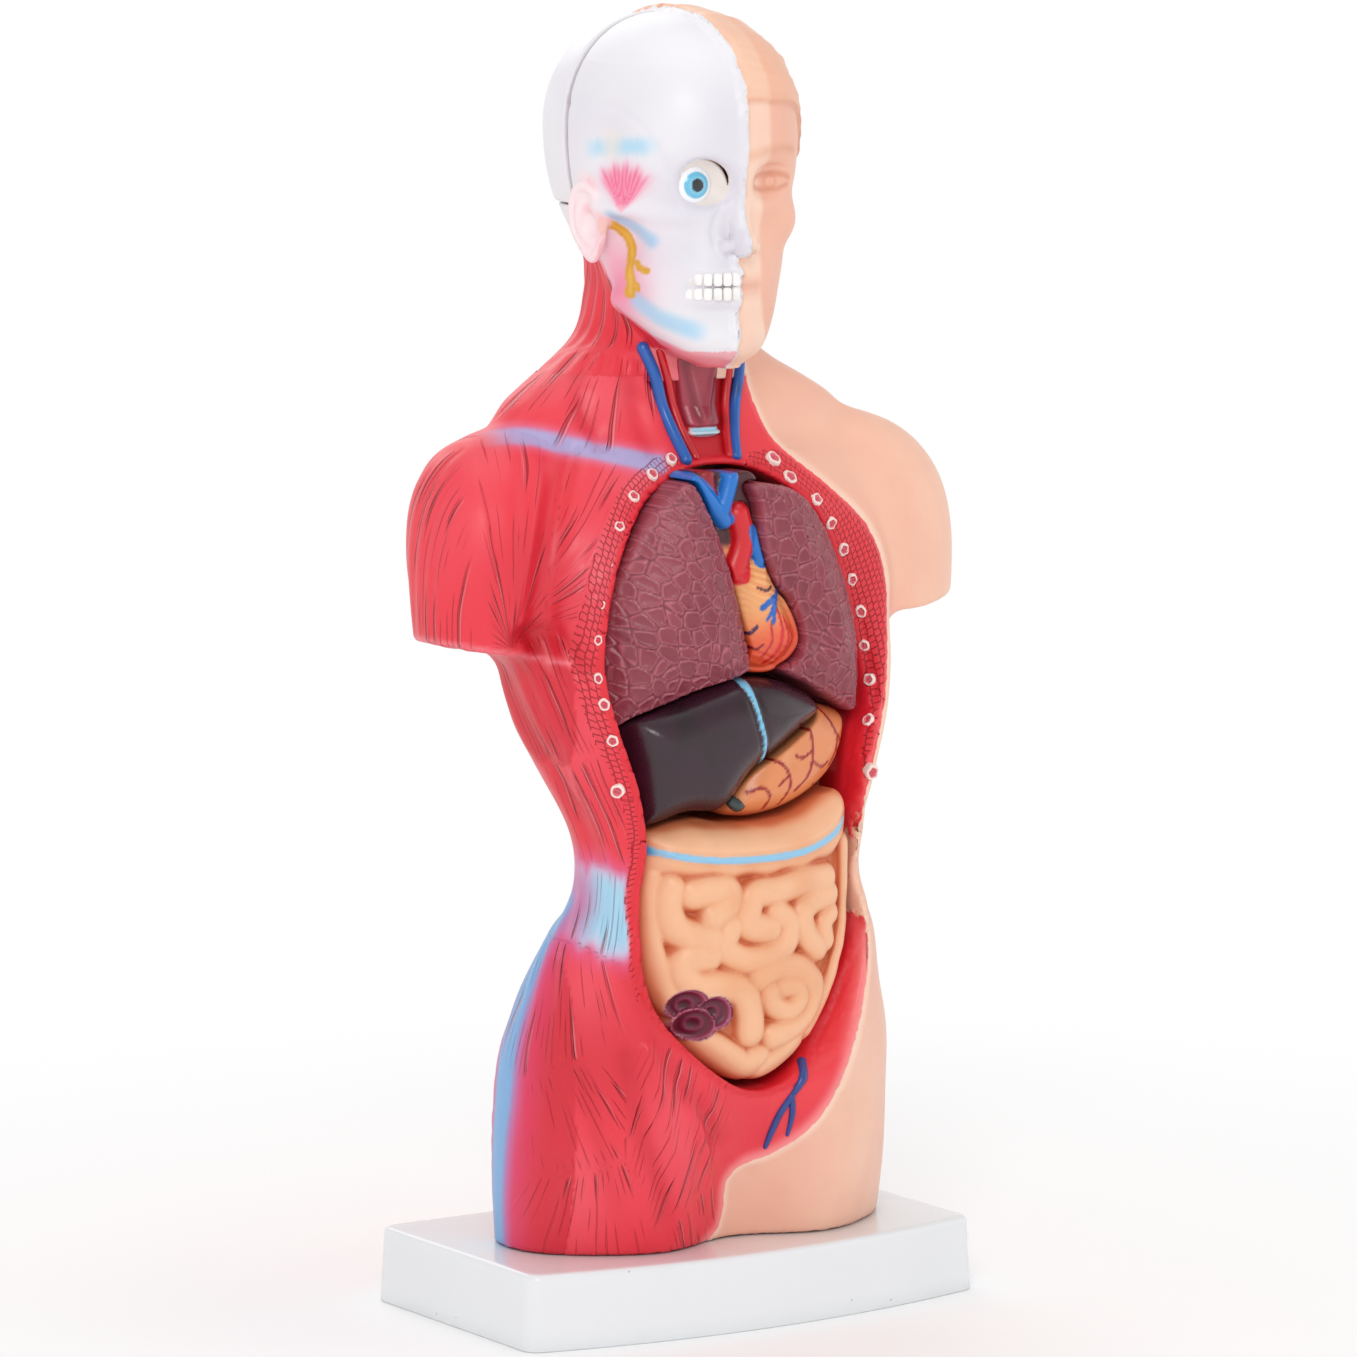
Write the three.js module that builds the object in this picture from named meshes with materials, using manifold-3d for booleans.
// Dissectible human torso model with head, on a plinth. Millimetres, +Z up.
// The figure faces -Y and its own right side is at -X. Organs lift out forwards (-Y), the
// skull cap and brain backwards (+Y). The form is laid out about the middle of the thighs,
// and the finished group is moved so that its origin is the bottom centre of its whole box.
import * as THREE from 'three';
import { mergeVertices } from 'three/addons/utils/BufferGeometryUtils.js';
import Module from 'manifold-3d';

const wasm = await Module();
wasm.setup();

// ---- Driving dimensions ----------------------------------------------------------------
const TOTAL_HEIGHT = 280;
const GAP = 0.3;             // clearance between neighbouring pieces
const WALL = 2.4;            // thickness of the torso moulding

const BASE = {
  width: 115.6, back: 33, front: -31.5, bow: 6.8, height: 16.5, corner: 4, wall: 2.5, bevel: 1.2,
};
const SCREW = {
  x: 24, y: -5, shank: 1.75, length: 22, head: 3.4, headHeight: 2.2, boss: 5, seatDepth: 6,
  slot: [4, 0.9, 2],
};
const PEG = { radius: 1.2, length: 5 };

const ARM = { x: 53.5, y: -3.3, top: 192.5, cutRight: 146.3, cutLeft: 150.2, tilt: 0.2 };
const SKULL = {
  y: 3.4, z: 255, width: 24.6, depth: 30.2, above: TOTAL_HEIGHT - 255, below: 35, roundness: 0.93,
};
const CAP = { seamY: 6.4, lowerZ: 238.5 };
const BRAIN_ROOM = { wall: 2.6, floorZ: CAP.lowerZ + 0.1, clearance: GAP + 0.3 };
const EAR = { x: 23.6, y: -1.5, z: 235.5, half: [2.6, 5.2, 8.2], lean: 0.2, splay: 0.35 };
const NOSE = { y: -22.6, z: 231, radius: 4.6, length: 16, lean: 0.32 };
const OUTSIDE = 80;          // far enough out to be clear of every surface
const POCKET_BACK = 6.5;     // rear wall of the organ cavity behind the chest
const WAIST_BACK = -0.5;     // rear wall of the organ cavity behind the belly
const WAIST_TOP = 111.4;     // height where the one steps to the other
const FLANK = { wall: 1.8, frontY: -12 };   // wall the cavity leaves in the flanks behind frontY
const LUNG_SPLIT = -13;      // coronal plane between the lung halves
const HEART_SPLIT = -17;     // coronal plane between the heart halves
const HEART_BACK = -8;
const LIVER_BACK = -13;      // behind the left lobe, where the stomach passes
const PANCREAS_FRONT = -0.7;
const LIVER_LOBE_X = -6.4;   // the right lobe reaches the rear wall on this side of it
const BOW = { depth: 8, reach: 34 };   // flanks of the organs curve back by depth at reach

// Front of each organ: y at the crown of its bulge and y at its rim
const BULGE = {
  lung: [-33, -25.5], heart: [-29.5, -24], liver: [-32.5, -27], stomach: [-29.5, -25],
  intestines: [-33, -26],
};

// Soft relief on the trunk: how far it comes out, half width, middle height, half height
const RELIEF = {
  groin: { rise: -9, x: 0, halfX: 12, z: 22, halfZ: 24 },
  thigh: { rise: 3, x: 24, halfX: 13, z: 30, halfZ: 22 },
  cleft: { rise: -5.5, x: 0, halfX: 6, z: 42, halfZ: 20 },
  buttock: { rise: 4, x: 19, halfX: 15, z: 44, halfZ: 15 },
  spine: { rise: -2, x: 0, halfX: 7, z: 115, halfZ: 50 },
};

// Level by level: [z, half width, front y, back y]
const TRUNK_LEVELS = [
  [BASE.height + GAP, 46.4, -27, 20], [30, 46.8, -30, 22], [45, 46.6, -32, 22.5],
  [58, 46, -33, 20.5], [70, 43, -33, 16.5], [82, 39.2, -34, 10], [93, 33.2, -35.5, 6.5],
  [105, 33.8, -36.5, 7], [118, 39, -36, 12], [130, 44, -35, 18], [145, 46.5, -33, 21],
  [160, 47.5, -30, 22], [172, 48, -25, 21], [182, 47.5, -18, 20], [190, 44, -12, 19],
  [196, 41, -9, 19], [200, 35, -8.5, 21], [205, 26, -8.5, 24], [211, 18, -9, 25],
  [219, 15.5, -9.5, 25], [228, 15, -9, 25],
];
const FACE_LEVELS = [
  [205, 5, -19, -11], [208, 10, -21.8, -4], [214, 15, -22.3, 5], [221, 18, -22.3, 11],
  [229, 20, -22.4, 14], [238, 21, -21, 16], [246, 21.8, -22.6, 18], [256, 21.6, -22.4, 18],
  [266, 18, -18.5, 16],
];
// [z, centre x, half width, front y, back y] of the right or left arm, mirrored by side
const ARM_LEVELS = [
  [138, 53.5, 11.7, -16.5, 9.7], [146, 53.5, 12.2, -17, 10.5], [158, 53, 13.5, -18, 12.5],
  [168, 51.8, 14.8, -18, 14.5], [177, 50, 15, -16.5, 15.5], [184, 47.5, 13.8, -13, 14.5],
  [189, 45, 10.5, -8, 11.5], [ARM.top, 43, 4, -1, 6],
];

// Outlines seen from the front, as [x, z], each with a centre it is star-shaped about
const CAVITY = {
  centre: [0, 115],
  points: [[-5, 184], [-13, 182], [-22.5, 176.5], [-30, 166], [-34, 153], [-35, 141],
    [-32.6, 129], [-29, 117], [-27, 104], [-28, 89], [-27.5, 77], [-23.5, 67], [-14.5, 57.5],
    [-4, 51], [5, 50.5], [15, 56], [24, 66], [30, 79], [31.2, 92], [31, 108], [32.5, 121],
    [36, 131], [34.8, 145], [30.5, 158], [23.5, 171], [15, 179.8], [7, 183.4]],
};
const RIGHT_LUNG = {
  centre: [-18, 152],
  points: [[-15, 181], [-11.3, 177], [-8.4, 165], [-5.4, 152], [-4, 142], [-5, 139.4],
    [-15.6, 136], [-25.4, 132], [-30.6, 130.6], [-33, 143], [-31, 158], [-24.5, 172]],
};
const LEFT_LUNG = {
  centre: [22, 150],
  points: [[5.2, 180.4], [4, 169], [6, 160], [11.6, 149.5], [12.4, 142.5], [9.8, 138.6],
    [18, 134.2], [28.5, 129.5], [33.2, 132], [33, 146], [28.7, 158], [22, 170], [13.5, 178.4]],
};
const HEART = {
  centre: [2, 155],
  points: [[-9.5, 181.4], [-7.6, 168], [-4.6, 154], [-3.4, 143], [3, 140.2], [9, 140.6],
    [13, 146], [8, 155.5], [4, 166], [3.6, 173], [4, 181.4], [-3, 182]],
};
const LIVER = {
  centre: [-12, 122],
  points: [[-27.6, 131.5], [-27, 120], [-25, 108.6], [-14.5, 110.8], [-6, 111.3], [1, 118.6],
    [11, 124.6], [20.5, 131.2], [10, 137.6], [-3, 139], [-16, 135.4]],
};
const STOMACH = {
  centre: [13, 120],
  points: [[-5, 112.2], [0, 108.6], [12.5, 109.8], [24, 114.6], [29.5, 121], [30.5, 128.4],
    [24, 131], [14, 133], [4, 128]],
};
const INTESTINES = {
  centre: [1, 85],
  points: [[-25.6, 104], [-23, 108], [-12, 109.6], [-4, 108.2], [11.5, 108.6], [25, 113],
    [29.4, 106], [29.4, 92], [28, 78], [22.5, 66.5], [13.5, 56.6], [4, 52], [-5, 52.8],
    [-14, 59], [-20, 67], [-25.5, 78], [-26.6, 91]],
};
const PANCREAS = {
  centre: [2, 120],
  points: [[-22, 124], [-20, 112], [-8, 111], [8, 112], [26, 113.5], [30, 120], [27, 128],
    [10, 127], [-8, 130]],
};
// ---- Materials -------------------------------------------------------------------------
const finish = (color, roughness) => new THREE.MeshStandardMaterial({ color, roughness, metalness: 0 });
const LOOK = {
  torso: finish(0xd83c4c, 0.5), skull: finish(0xf1eff0, 0.45), brain: finish(0xe8b9a0, 0.55),
  lung: finish(0x8c4855, 0.5), heart: finish(0xe0703c, 0.45), liver: finish(0x2c151b, 0.3),
  stomach: finish(0xe08a50, 0.45), gut: finish(0xf0ae7c, 0.5), gland: finish(0xe6b45a, 0.5),
  airway: finish(0xc02a34, 0.5), base: finish(0xf2f3f3, 0.3),
  peg: finish(0xe9e4d8, 0.5),
  steel: new THREE.MeshStandardMaterial({ color: 0xb9bcc0, roughness: 0.35, metalness: 1 }),
};

// ---- Solids ----------------------------------------------------------------------------
const power = (value, exponent) => Math.sign(value) * Math.abs(value) ** exponent;
const hump = (value, width) => Math.exp(-((value / width) ** 2));

function manifold(vertProperties, corners) {
  const triVerts = new Uint32Array(corners);
  return new wasm.Manifold(new wasm.Mesh({ numProp: 3, vertProperties, triVerts }));
}

function solid(source) {
  const bare = source.clone();
  bare.deleteAttribute('normal');
  bare.deleteAttribute('uv');
  const geometry = mergeVertices(bare, 1e-4);
  const vertProperties = new Float32Array(geometry.attributes.position.array);
  const triVerts = new Uint32Array(geometry.index.array);
  const kept = [];
  for (let i = 0; i < triVerts.length; i += 3) {
    const [a, b, c] = [triVerts[i], triVerts[i + 1], triVerts[i + 2]];
    if (a !== b && b !== c && c !== a) kept.push(a, b, c);
  }
  const made = manifold(vertProperties, kept);
  if (made.volume() > 0) return made;
  const turned = [];
  for (let i = 0; i < kept.length; i += 3) turned.push(kept[i], kept[i + 2], kept[i + 1]);
  return manifold(vertProperties, turned);
}

function geometryOf(body) {
  const { vertProperties, triVerts } = body.getMesh();
  const geometry = new THREE.BufferGeometry();
  geometry.setAttribute('position', new THREE.BufferAttribute(new Float32Array(vertProperties), 3));
  geometry.setIndex(new THREE.BufferAttribute(new Uint32Array(triVerts), 1));
  geometry.computeVertexNormals();
  return geometry;
}

function named(name, body, material) {
  const mesh = new THREE.Mesh(geometryOf(body), material);
  mesh.name = name;
  return mesh;
}

function box(sizeX, sizeY, sizeZ, x, y, z) {
  return solid(new THREE.BoxGeometry(sizeX, sizeY, sizeZ).translate(x, y, z));
}

function post(radius, z0, z1, x, y, sides = 16) {
  const geometry = new THREE.CylinderGeometry(radius, radius, z1 - z0, sides);
  return solid(geometry.rotateX(Math.PI / 2).translate(x, y, (z0 + z1) / 2));
}

function rod(radius, y0, y1, x, z, sides = 12) {
  const geometry = new THREE.CylinderGeometry(radius, radius, y1 - y0, sides);
  return solid(geometry.translate(x, (y0 + y1) / 2, z));
}

// Smooth values between the levels of a table whose first column is the height
function between(levels, z) {
  const last = levels.length - 1;
  let i = 0;
  while (i < last - 1 && z > levels[i + 1][0]) i += 1;
  const [a, b] = [levels[i], levels[i + 1]];
  const [p, q] = [levels[Math.max(i - 1, 0)], levels[Math.min(i + 2, last)]];
  const t = Math.min(Math.max((z - a[0]) / (b[0] - a[0]), 0), 1);
  return a.map((value, k) => {
    const slopeA = (b[k] - p[k]) / (b[0] - p[0]) * (b[0] - a[0]);
    const slopeB = (q[k] - a[k]) / (q[0] - a[0]) * (b[0] - a[0]);
    const t2 = t * t;
    const t3 = t2 * t;
    return (2 * t3 - 3 * t2 + 1) * value + (t3 - 2 * t2 + t) * slopeA
      + (3 * t2 - 2 * t3) * b[k] + (t3 - t2) * slopeB;
  });
}

// A closed unit cylinder warped ring by ring: section(z, angle) gives the outline point
function ringLoft(z0, z1, columns, rows, section) {
  const geometry = new THREE.CylinderGeometry(1, 1, 1, columns, rows).rotateX(Math.PI / 2);
  const position = geometry.attributes.position;
  for (let i = 0; i < position.count; i += 1) {
    const [x, y] = [position.getX(i), position.getY(i)];
    const z = z0 + (z1 - z0) * (position.getZ(i) + 0.5);
    const onRim = Math.hypot(x, y) > 0.5;
    const angle = Math.round(Math.atan2(y, x) * 1e5) / 1e5;
    const ends = onRim ? [section(z, angle), section(z, angle)] : [section(z, 0), section(z, Math.PI)];
    position.setXYZ(i, (ends[0][0] + ends[1][0]) / 2, (ends[0][1] + ends[1][1]) / 2, z);
  }
  return solid(geometry);
}

function superellipse(width, front, back, angle, exponent) {
  const x = width * power(Math.cos(angle), exponent);
  const y = (front + back) / 2 + (back - front) / 2 * power(Math.sin(angle), exponent);
  return [x, y];
}

function outlineCurve({ points }) {
  const corners = points.map(([x, z]) => new THREE.Vector3(x, 0, z));
  return new THREE.CatmullRomCurve3(corners, true, 'centripetal');
}

// An outline seen from the front, turned into a closed body.
// profile: [radius fraction, y] from the axis in front to the axis behind
function lens(outline, profile, { grow = 0, columns = 28, bow = 0 } = {}) {
  const curve = outlineCurve(outline);
  const [cx, cz] = outline.centre;
  const spread = curve.getSpacedPoints(columns).slice(0, columns);
  const front = profile[0][1];
  const back = profile[profile.length - 1][1];
  const path = profile.map(([radius, y]) => new THREE.Vector2(radius, y));
  const geometry = new THREE.LatheGeometry(path, columns);
  const position = geometry.attributes.position;
  for (let i = 0; i < position.count; i += 1) {
    const radius = Math.hypot(position.getX(i), position.getZ(i));
    const turn = Math.atan2(position.getX(i), position.getZ(i)) / (2 * Math.PI);
    const rim = spread[Math.round(turn * columns + columns) % columns];
    const reach = Math.hypot(rim.x - cx, rim.z - cz);
    const scale = radius * (reach + grow) / reach;
    const x = cx + (rim.x - cx) * scale;
    const z = cz + (rim.z - cz) * scale;
    const share = (back - position.getY(i)) / (back - front);
    position.setXYZ(i, x, position.getY(i) + bow * share * (x / BOW.reach) ** 2, z);
  }
  return solid(geometry);
}

// Rounded front: crown at the middle, edge at the rim, then a straight wall to a flat back
function roundedProfile(crown, edge, back, steps = 5) {
  const profile = [];
  for (let k = 0; k <= steps; k += 1) {
    const angle = k / steps * Math.PI / 2;
    profile.push([Math.sin(angle), edge + (crown - edge) * Math.cos(angle) ** 0.75]);
  }
  profile[0][0] = 0;
  return [...profile, [1, back], [0, back]];
}

const prismProfile = (front, back) => [[0, front], [1, front], [1, back], [0, back]];
const organ = (outline, [crown, edge], back, options = {}) =>
  lens(outline, roundedProfile(crown, edge, back), { bow: BOW.depth, ...options });
const prism = (outline, front, back, grow = GAP) => lens(outline, prismProfile(front, back), { grow });

// ---- Outer form of the figure ----------------------------------------------------------
const relief = ({ rise, x: middle, halfX, z: height, halfZ }, x, z) =>
  rise * hump(Math.abs(x) - middle, halfX) * hump(z - height, halfZ);

function trunkSection(inset) {
  return (z, angle) => {
    const [, width, front, back] = between(TRUNK_LEVELS, z);
    const [x, y] = superellipse(width - inset, front + inset, back - inset, angle, 0.9);
    const inFront = relief(RELIEF.groin, x, z) + relief(RELIEF.thigh, x, z);
    const behind = relief(RELIEF.cleft, x, z) + relief(RELIEF.buttock, x, z) + relief(RELIEF.spine, x, z);
    const facing = Math.sin(angle);
    return [x, y + facing * (facing < 0 ? inFront : behind)];
  };
}

function faceSection(z, angle) {
  const [, width, front, back] = between(FACE_LEVELS, z);
  return superellipse(width, front, back, angle, 0.88);
}

function armSection(side) {
  return (z, angle) => {
    const [, x, width, front, back] = between(ARM_LEVELS, z);
    const [dx, y] = superellipse(width, front, back, angle, 1);
    return [side * x + dx, y];
  };
}

function arm(side) {
  const form = ringLoft(ARM_LEVELS[0][0], ARM.top, 22, 9, armSection(side));
  const cutZ = side < 0 ? ARM.cutRight : ARM.cutLeft;
  const belowCut = new THREE.BoxGeometry(60, 60, 20).translate(0, 0, -10);
  belowCut.rotateY(-side * ARM.tilt).translate(side * ARM.x, ARM.y, cutZ);
  return form.subtract(solid(belowCut));
}

function ear(side) {
  const geometry = new THREE.SphereGeometry(1, 14, 8).scale(...EAR.half);
  geometry.rotateX(EAR.lean).rotateZ(-side * EAR.splay);
  return solid(geometry.translate(side * EAR.x, EAR.y, EAR.z));
}

function nose() {
  const geometry = new THREE.ConeGeometry(NOSE.radius, NOSE.length, 10, 1);
  return solid(geometry.rotateX(Math.PI / 2 - NOSE.lean).translate(0, NOSE.y, NOSE.z));
}

// An egg with filled-out corners, made smaller all round by the inset
function skullForm(inset) {
  const geometry = new THREE.SphereGeometry(1, 28, 14).rotateX(Math.PI / 2);
  const position = geometry.attributes.position;
  for (let i = 0; i < position.count; i += 1) {
    const x = power(position.getX(i), SKULL.roundness) * (SKULL.width - inset);
    const y = power(position.getY(i), SKULL.roundness) * (SKULL.depth - inset);
    const height = (position.getZ(i) > 0 ? SKULL.above : SKULL.below) - inset;
    position.setXYZ(i, x, y, power(position.getZ(i), SKULL.roundness) * height);
  }
  return solid(geometry.translate(0, SKULL.y, SKULL.z));
}

const below = (z) => box(2 * OUTSIDE, 2 * OUTSIDE, OUTSIDE, 0, 0, z - OUTSIDE / 2);
const capRegion = (gap) => box(2 * OUTSIDE, OUTSIDE, OUTSIDE,
  0, CAP.seamY + gap + OUTSIDE / 2, CAP.lowerZ + gap + OUTSIDE / 2);
const brainRoom = skullForm(BRAIN_ROOM.wall).subtract(below(BRAIN_ROOM.floorZ));

// ---- Torso moulding --------------------------------------------------------------------
const TRUNK_BOTTOM = BASE.height + GAP;

// The organ cavity, deep behind the chest and shallow behind the belly, grown by a margin
function cavity(grow) {
  const belly = lens(CAVITY, prismProfile(-OUTSIDE, WAIST_BACK + grow), { grow, columns: 36 });
  const chest = lens(CAVITY, prismProfile(-OUTSIDE, POCKET_BACK + grow), { grow, columns: 36 });
  const open = belly.add(chest.subtract(below(WAIST_TOP - grow)).subtract(below(WAIST_TOP - grow - OUTSIDE)));
  const walled = ringLoft(TRUNK_BOTTOM, 228, 40, 30, trunkSection(FLANK.wall - grow));
  const mouth = box(4 * OUTSIDE, OUTSIDE, 4 * OUTSIDE, 0, FLANK.frontY - OUTSIDE / 2, 2 * OUTSIDE);
  return open.intersect(walled.add(mouth));
}

function hollowInside() {
  const inside = ringLoft(TRUNK_BOTTOM - 5, 216, 28, 16, trunkSection(WALL));
  return inside.subtract(cavity(WALL));
}

const SCREW_TIP = TRUNK_BOTTOM + SCREW.length - SCREW.seatDepth;

function screwBoss(side) {
  const top = SCREW_TIP + 3;
  const tube = post(SCREW.boss, TRUNK_BOTTOM, top, side * SCREW.x, SCREW.y);
  const web = box(2, 60, top - TRUNK_BOTTOM, side * SCREW.x, SCREW.y, (TRUNK_BOTTOM + top) / 2);
  return tube.add(web);
}

function torsoMoulding() {
  const trunk = ringLoft(TRUNK_BOTTOM, 228, 40, 30, trunkSection(0));
  const face = ringLoft(205, 266, 24, 9, faceSection);
  const outer = trunk.add(arm(-1)).add(arm(1)).add(face).add(skullForm(0))
    .add(ear(-1)).add(ear(1)).add(nose());
  const hips = ringLoft(TRUNK_BOTTOM, 60, 28, 3, trunkSection(1));
  const bosses = screwBoss(-1).add(screwBoss(1)).intersect(hips);
  let shell = outer.subtract(hollowInside()).add(bosses).subtract(cavity(0));
  shell = shell.subtract(capRegion(0)).subtract(brainRoom);
  for (const side of [-1, 1]) {
    const [x, y] = [side * SCREW.x, SCREW.y];
    shell = shell.subtract(post(SCREW.shank + GAP, TRUNK_BOTTOM - 1, SCREW_TIP + 1, x, y));
  }
  return pegHoles(shell, 'torso');
}

// ---- Plinth and screws -----------------------------------------------------------------
function plinthOutline(inset) {
  const w = BASE.width / 2 - inset;
  const [front, back, r] = [BASE.front + inset, BASE.back - inset, BASE.corner - inset * 0.5];
  const lean = 0.15;         // the bowed front meets the corner rounds at this angle
  const [touchX, touchY] = [w - r + r * Math.sin(lean), front + r - r * Math.cos(lean)];
  const shape = new THREE.Shape();
  shape.moveTo(w, front + r);
  shape.lineTo(w, back - r);
  shape.absarc(w - r, back - r, r, 0, Math.PI / 2);
  shape.lineTo(-w + r, back);
  shape.absarc(-w + r, back - r, r, Math.PI / 2, Math.PI);
  shape.lineTo(-w, front + r);
  shape.absarc(-w + r, front + r, r, Math.PI, 1.5 * Math.PI - lean);
  shape.quadraticCurveTo(0, front - 2 * BASE.bow, touchX, touchY);
  shape.absarc(w - r, front + r, r, 1.5 * Math.PI + lean, 2 * Math.PI);
  return shape;
}

function plinthBlock(inset, z0, z1, bevel) {
  const geometry = new THREE.ExtrudeGeometry(plinthOutline(inset + bevel), {
    depth: z1 - z0 - 2 * bevel, curveSegments: 6, steps: 1,
    bevelEnabled: bevel > 0, bevelThickness: bevel, bevelSize: bevel, bevelSegments: 2,
  });
  return solid(geometry.translate(0, 0, z0 + bevel));
}

function basePlinth() {
  const rounded = plinthBlock(0, -BASE.bevel, BASE.height, BASE.bevel);
  let body = rounded.intersect(box(200, 200, BASE.height + 1, 0, 0, (BASE.height + 1) / 2));
  body = body.subtract(plinthBlock(BASE.wall, -5, BASE.height - BASE.wall, 0));
  const rib = { thickness: 2, height: 9, y: 12, overlap: 0.1 };
  const ribZ = BASE.height - BASE.wall - rib.height / 2 + rib.overlap;
  body = body.add(box(BASE.width - 4, rib.thickness, rib.height, 0, rib.y, ribZ));
  body = body.add(box(rib.thickness, BASE.back - BASE.front - 6, rib.height, 0, 0, ribZ));
  for (const side of [-1, 1]) {
    const [x, y] = [side * SCREW.x, SCREW.y];
    body = body.add(post(SCREW.boss + 1, BASE.height - 12, BASE.height - 1, x, y));
    body = body.subtract(post(SCREW.shank + GAP, 0, BASE.height + 1, x, y));
    body = body.subtract(post(SCREW.head + GAP, 0, BASE.height - SCREW.seatDepth, x, y));
  }
  return body;
}

function baseScrew(side) {
  const seat = BASE.height - SCREW.seatDepth - GAP;
  const shank = post(SCREW.shank, seat - 0.5, seat + SCREW.length, side * SCREW.x, SCREW.y, 12);
  const head = post(SCREW.head, seat - SCREW.headHeight, seat, side * SCREW.x, SCREW.y, 16);
  const slot = (turn) => solid(new THREE.BoxGeometry(...SCREW.slot).rotateZ(turn)
    .translate(side * SCREW.x, SCREW.y, seat - SCREW.headHeight));
  return shank.add(head).subtract(slot(0)).subtract(slot(Math.PI / 2));
}

// ---- Head pieces -----------------------------------------------------------------------
const brainForm = () => skullForm(BRAIN_ROOM.wall + BRAIN_ROOM.clearance)
  .subtract(below(BRAIN_ROOM.floorZ + GAP));

function skullCap() {
  return skullForm(0).intersect(capRegion(GAP)).subtract(skullForm(BRAIN_ROOM.wall));
}

const besideMidline = (side) => box(OUTSIDE, 2 * OUTSIDE, 2 * OUTSIDE,
  side * (OUTSIDE + GAP) / 2, 0, SKULL.z);
const brainHalf = (side) => brainForm().intersect(besideMidline(side));

// ---- Locating pegs ---------------------------------------------------------------------
// Each is pressed in the piece it is named after (from) and drops into the one behind (into)
const peg = (name, from, into, x, y, z) => ({ name, from, into, at: [x, y, z] });
const PEGS = [
  peg('right_lung_peg_upper', 'right_lung_front', 'right_lung_rear', -20, LUNG_SPLIT, 164),
  peg('right_lung_peg_lower', 'right_lung_front', 'right_lung_rear', -20, LUNG_SPLIT, 144),
  peg('left_lung_peg_upper', 'left_lung_front', 'left_lung_rear', 15, LUNG_SPLIT, 168),
  peg('left_lung_peg_lower', 'left_lung_front', 'left_lung_rear', 24, LUNG_SPLIT, 145),
  peg('heart_peg', 'heart_front', 'heart_rear', 1, HEART_SPLIT, 151),
  peg('heart_rear_peg', 'heart_rear', 'trachea_aorta', 0, HEART_BACK, 157),
  peg('right_lung_rear_peg', 'right_lung_rear', 'torso', -20, POCKET_BACK, 155),
  peg('left_lung_rear_peg', 'left_lung_rear', 'torso', 20, POCKET_BACK, 157),
  peg('trachea_peg', 'trachea_aorta', 'torso', 0, POCKET_BACK, 161),
  peg('pancreas_peg', 'pancreas_duodenum', 'torso', 4, POCKET_BACK, 120),
  peg('liver_peg', 'liver', 'pancreas_duodenum', -14, PANCREAS_FRONT, 118),
  peg('stomach_peg', 'stomach', 'pancreas_duodenum', 16, PANCREAS_FRONT, 120),
  peg('intestines_peg', 'intestines', 'torso', 0, WAIST_BACK, 84),
];

function pegBody({ at: [x, y, z] }) {
  return rod(PEG.radius, y - GAP / 2 - PEG.length / 2, y - GAP / 2 + PEG.length / 2, x, z);
}

function pegHoles(body, piece) {
  const mine = PEGS.filter(({ from, into }) => from === piece || into === piece);
  return mine.reduce((left, { at: [x, y, z] }) => {
    const reach = PEG.length / 2 + GAP;
    return left.subtract(rod(PEG.radius + GAP, y - GAP / 2 - reach, y - GAP / 2 + reach, x, z));
  }, body);
}

// ---- Organs ----------------------------------------------------------------------------
const cavityRoom = cavity(-GAP);
const throughRoom = (outline, grow = GAP) => prism(outline, -OUTSIDE, OUTSIDE, grow);
const lungRoom = [throughRoom(RIGHT_LUNG), throughRoom(LEFT_LUNG)];
const chestRoom = [...lungRoom, throughRoom(HEART)];
const clearOf = (body, rooms) => rooms.reduce((left, room) => left.subtract(room), body);
const seated = (body, piece) => pegHoles(body.intersect(cavityRoom), piece);

const lungFront = (outline, piece) => seated(organ(outline, BULGE.lung, LUNG_SPLIT - GAP), piece);
const lungRear = (outline, piece) => seated(prism(outline, LUNG_SPLIT, OUTSIDE, 0), piece);

function heartFront() {
  const body = organ(HEART, BULGE.heart, HEART_SPLIT - GAP);
  return seated(clearOf(body, lungRoom), 'heart_front');
}

function heartRear() {
  const body = prism(HEART, HEART_SPLIT, HEART_BACK - GAP, 0);
  return seated(clearOf(body, lungRoom), 'heart_rear');
}

function tracheaAorta() {
  const body = prism(HEART, HEART_BACK, OUTSIDE, -0.6);
  return seated(clearOf(body, lungRoom), 'trachea_aorta');
}

function liver() {
  const leaf = organ(LIVER, BULGE.liver, LIVER_BACK);
  const lobeSide = box(OUTSIDE, 2 * OUTSIDE, 4 * OUTSIDE, LIVER_LOBE_X - OUTSIDE / 2, 0, 0);
  const lobe = prism(LIVER, LIVER_BACK - 2, PANCREAS_FRONT - GAP, -0.4).intersect(lobeSide);
  return seated(clearOf(leaf.add(lobe), chestRoom), 'liver');
}

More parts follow.
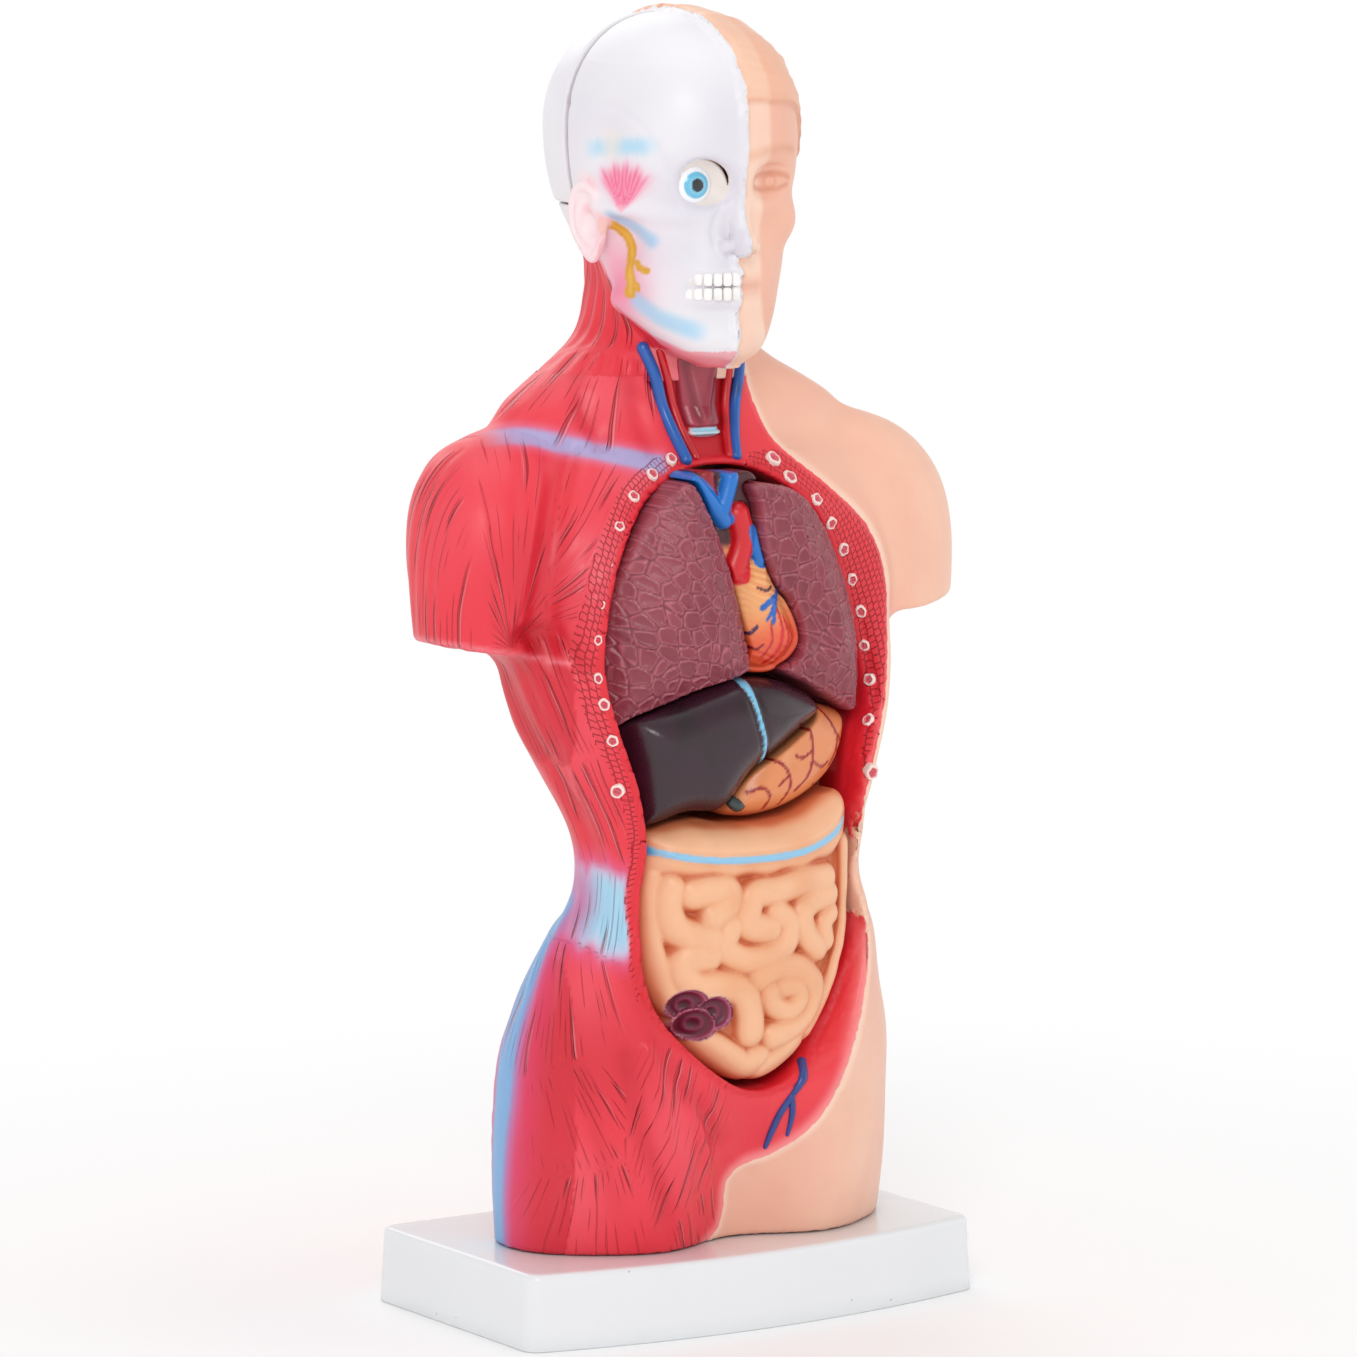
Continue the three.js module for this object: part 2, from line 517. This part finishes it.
function stomach() {
  const body = organ(STOMACH, BULGE.stomach, PANCREAS_FRONT - GAP);
  const underLiver = prism(LIVER, -OUTSIDE, LIVER_BACK + GAP);
  return seated(clearOf(body, [...chestRoom, underLiver]), 'stomach');
}

function pancreasDuodenum() {
  const body = prism(PANCREAS, PANCREAS_FRONT, OUTSIDE, 0);
  return seated(clearOf(body, chestRoom), 'pancreas_duodenum');
}

function intestines() {
  const body = organ(INTESTINES, BULGE.intestines, POCKET_BACK, { columns: 36 });
  const neighbours = [LIVER, STOMACH, PANCREAS].map((outline) => throughRoom(outline, 2 * GAP));
  return seated(clearOf(body, neighbours), 'intestines');
}

// ---- Assembly --------------------------------------------------------------------------
const group = new THREE.Group();
group.add(
  named('torso_shell', torsoMoulding(), LOOK.torso),
  named('base_plinth', basePlinth(), LOOK.base),
  named('skull_cap', skullCap(), LOOK.skull),
  named('brain_right', brainHalf(-1), LOOK.brain),
  named('brain_left', brainHalf(1), LOOK.brain),
  named('right_lung_front', lungFront(RIGHT_LUNG, 'right_lung_front'), LOOK.lung),
  named('right_lung_rear', lungRear(RIGHT_LUNG, 'right_lung_rear'), LOOK.lung),
  named('left_lung_front', lungFront(LEFT_LUNG, 'left_lung_front'), LOOK.lung),
  named('left_lung_rear', lungRear(LEFT_LUNG, 'left_lung_rear'), LOOK.lung),
  named('heart_front', heartFront(), LOOK.heart),
  named('heart_rear', heartRear(), LOOK.heart),
  named('trachea_aorta', tracheaAorta(), LOOK.airway),
  named('liver', liver(), LOOK.liver),
  named('stomach', stomach(), LOOK.stomach),
  named('pancreas_duodenum', pancreasDuodenum(), LOOK.gland),
  named('intestines', intestines(), LOOK.gut),
);
for (const each of PEGS) group.add(named(each.name, pegBody(each), LOOK.peg));
for (const side of [-1, 1]) {
  group.add(named(`base_screw_${side < 0 ? 'right' : 'left'}`, baseScrew(side), LOOK.steel));
}

const bounds = new THREE.Box3().setFromObject(group);
const middle = bounds.getCenter(new THREE.Vector3());
group.position.set(-middle.x, -middle.y, 0);

export default group;
